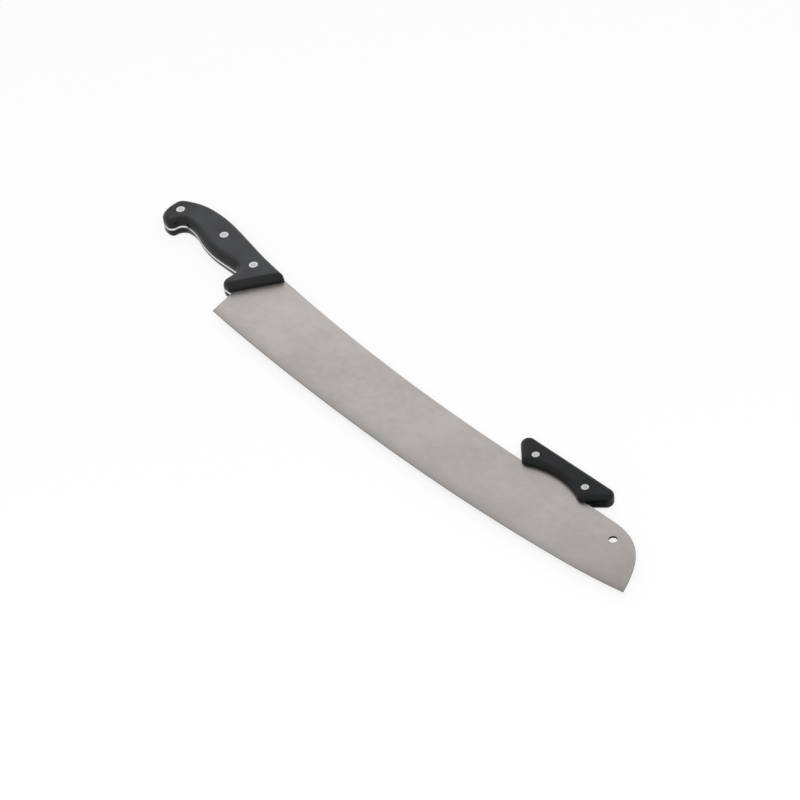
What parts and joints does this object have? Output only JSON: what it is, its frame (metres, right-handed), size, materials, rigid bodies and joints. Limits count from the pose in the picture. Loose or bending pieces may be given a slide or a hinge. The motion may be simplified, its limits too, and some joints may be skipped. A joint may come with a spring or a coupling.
{
  "type": "rocking pizza knife",
  "caption": "Long curved pizza knife with a full tang grip, a finger guard and a small second handle riveted along the spine near the rounded tip.",
  "frame": {"origin": "under the middle of the knife's box, on the plane that the grip's back face lies on", "axes": "+X from the pommel to the tip, +Y from the cutting edge to the spine, +Z out of the upper face of the knife lying flat"},
  "size_m": [0.6256, 0.0996, 0.019],
  "materials": {
    "blade_steel": "satin ground stainless steel with a finer ground bevel",
    "handle_black": "black moulded plastic, matte with a faint sheen",
    "rivet_metal": "flush ground rivet heads, satin"
  },
  "bodies": {
    "root": {"blade": "blade_steel", "main_scale_front": "handle_black", "main_scale_back": "handle_black", "tip_scale_front": "handle_black", "tip_scale_back": "handle_black", "main_rivet_barrel_1": "rivet_metal", "main_rivet_pin_1": "rivet_metal", "main_rivet_barrel_2": "rivet_metal", "main_rivet_pin_2": "rivet_metal", "main_rivet_barrel_3": "rivet_metal", "main_rivet_pin_3": "rivet_metal", "tip_rivet_barrel_1": "rivet_metal", "tip_rivet_pin_1": "rivet_metal", "tip_rivet_barrel_2": "rivet_metal", "tip_rivet_pin_2": "rivet_metal"}
  },
  "joints": []
}
